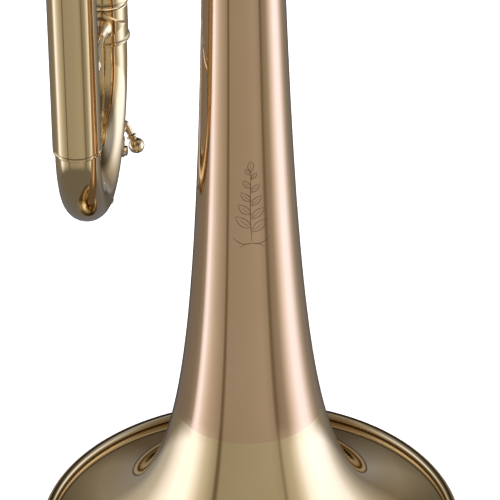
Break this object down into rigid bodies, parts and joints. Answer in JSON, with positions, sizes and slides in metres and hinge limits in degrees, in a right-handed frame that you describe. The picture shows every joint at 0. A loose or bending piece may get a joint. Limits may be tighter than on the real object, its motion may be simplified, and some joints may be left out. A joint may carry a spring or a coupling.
{
  "type": "trumpet",
  "caption": "Trumpet with a two-metal bell, piston valves under pearl-topped buttons, pull-out tuning slides, a water key, braces, finger hook and a removable mouthpiece.",
  "frame": {"origin": "the centre of the bell's mouth, in the plane that its rim rests on", "axes": "+Z along the bell's axis towards the player, -Y towards the finger buttons, -X towards the leadpipe"},
  "size_m": [0.1444, 0.1513, 0.545],
  "materials": {
    "yellow_brass_lacquer": "polished, clear lacquer",
    "rose_brass_lacquer": "polished rose brass, clear lacquer",
    "nickel_silver": "polished",
    "nickel_plate": "polished plate",
    "silver_plate": "polished silver plate",
    "spring_steel": "drawn wire",
    "nylon": "moulded",
    "mother_of_pearl": "polished shell inlay",
    "felt": "pressed felt",
    "cork": "natural cork"
  },
  "bodies": {
    "instrument": {"bell_flare": "yellow_brass_lacquer", "bell_rim_wire": "spring_steel", "bell_stem": "rose_brass_lacquer", "bell_bow": "rose_brass_lacquer", "bell_tail": "yellow_brass_lacquer", "fixed_ferrules": "yellow_brass_lacquer", "leadpipe": "yellow_brass_lacquer", "mouthpiece_receiver": "yellow_brass_lacquer", "main_slide_sleeve": "yellow_brass_lacquer", "third_valve_elbow": "yellow_brass_lacquer", "valve_knuckles": "yellow_brass_lacquer", "valve_balusters": "nickel_silver", "top_caps": "yellow_brass_lacquer", "bottom_caps": "yellow_brass_lacquer", "valve_guides": "nylon", "first_slide_sleeves": "yellow_brass_lacquer", "second_slide_sleeves": "yellow_brass_lacquer", "third_slide_sleeves": "yellow_brass_lacquer", "third_slide_stop_eye": "yellow_brass_lacquer", "bell_braces": "yellow_brass_lacquer", "valve_stays": "yellow_brass_lacquer", "finger_hook": "yellow_brass_lacquer", "valve_casing_1": "yellow_brass_lacquer", "valve_casing_2": "yellow_brass_lacquer", "valve_casing_3": "yellow_brass_lacquer", "valve_spring_1": "spring_steel", "valve_spring_2": "spring_steel", "valve_spring_3": "spring_steel"},
    "valve_1": {"piston_1": "nickel_silver", "valve_stem_1": "nickel_silver", "button_felt_1": "felt", "finger_button_1": "yellow_brass_lacquer", "button_pearl_1": "mother_of_pearl"},
    "valve_2": {"piston_2": "nickel_silver", "valve_stem_2": "nickel_silver", "button_felt_2": "felt", "finger_button_2": "yellow_brass_lacquer", "button_pearl_2": "mother_of_pearl"},
    "valve_3": {"piston_3": "nickel_silver", "valve_stem_3": "nickel_silver", "button_felt_3": "felt", "finger_button_3": "yellow_brass_lacquer", "button_pearl_3": "mother_of_pearl"},
    "main_slide": {"main_slide_outer_leg": "yellow_brass_lacquer", "main_slide_crook": "yellow_brass_lacquer", "main_slide_ferrule": "yellow_brass_lacquer", "main_slide_inner_leg": "yellow_brass_lacquer", "main_slide_brace": "yellow_brass_lacquer", "water_key_saddle": "yellow_brass_lacquer", "water_key_screw": "nickel_plate", "water_key_spring": "spring_steel"},
    "water_key": {"water_key": "yellow_brass_lacquer", "water_key_cork": "cork"},
    "first_slide": {"first_slide": "yellow_brass_lacquer", "first_slide_saddle": "yellow_brass_lacquer"},
    "second_slide": {"second_slide": "yellow_brass_lacquer"},
    "third_slide": {"third_slide": "yellow_brass_lacquer", "third_slide_ring": "yellow_brass_lacquer", "third_slide_stop_rod": "nickel_silver"},
    "mouthpiece": {"mouthpiece": "silver_plate"}
  },
  "joints": [
    {"name": "valve_1_press", "type": "slide", "parent": "instrument", "child": "valve_1", "axis": [0, 1, 0], "range_m": [0, 0.0165], "stiffness_N_per_m": 80, "springref_m": -0.02, "deforming": ["valve_spring_1"]},
    {"name": "valve_2_press", "type": "slide", "parent": "instrument", "child": "valve_2", "axis": [0, 1, 0], "range_m": [0, 0.0165], "stiffness_N_per_m": 80, "springref_m": -0.02, "deforming": ["valve_spring_2"]},
    {"name": "valve_3_press", "type": "slide", "parent": "instrument", "child": "valve_3", "axis": [0, 1, 0], "range_m": [0, 0.0165], "stiffness_N_per_m": 80, "springref_m": -0.02, "deforming": ["valve_spring_3"]},
    {"name": "main_slide_pull", "type": "slide", "parent": "instrument", "child": "main_slide", "axis": [0, 0, -1], "range_m": [0, 0.05]},
    {"name": "water_key_press", "type": "hinge", "parent": "main_slide", "child": "water_key", "pos_m": [-0.0397, 0.05102, 0.09866], "axis": [0.9878, -0.1432, 0.0613], "range_deg": [0, 10], "stiffness_Nm_per_rad": 0.05, "springref_deg": -34.38, "deforming": ["water_key_spring"]},
    {"name": "first_slide_pull", "type": "slide", "parent": "instrument", "child": "first_slide", "axis": [0, 0, 1], "range_m": [0, 0.018]},
    {"name": "second_slide_pull", "type": "slide", "parent": "instrument", "child": "second_slide", "axis": [-1, 0, 0], "range_m": [0, 0.012]},
    {"name": "third_slide_pull", "type": "slide", "parent": "instrument", "child": "third_slide", "axis": [0, 0, -1], "range_m": [0, 0.02]},
    {"name": "mouthpiece_pull", "type": "slide", "parent": "instrument", "child": "mouthpiece", "axis": [0, 0, 1], "range_m": [0, 0.025]}
  ]
}
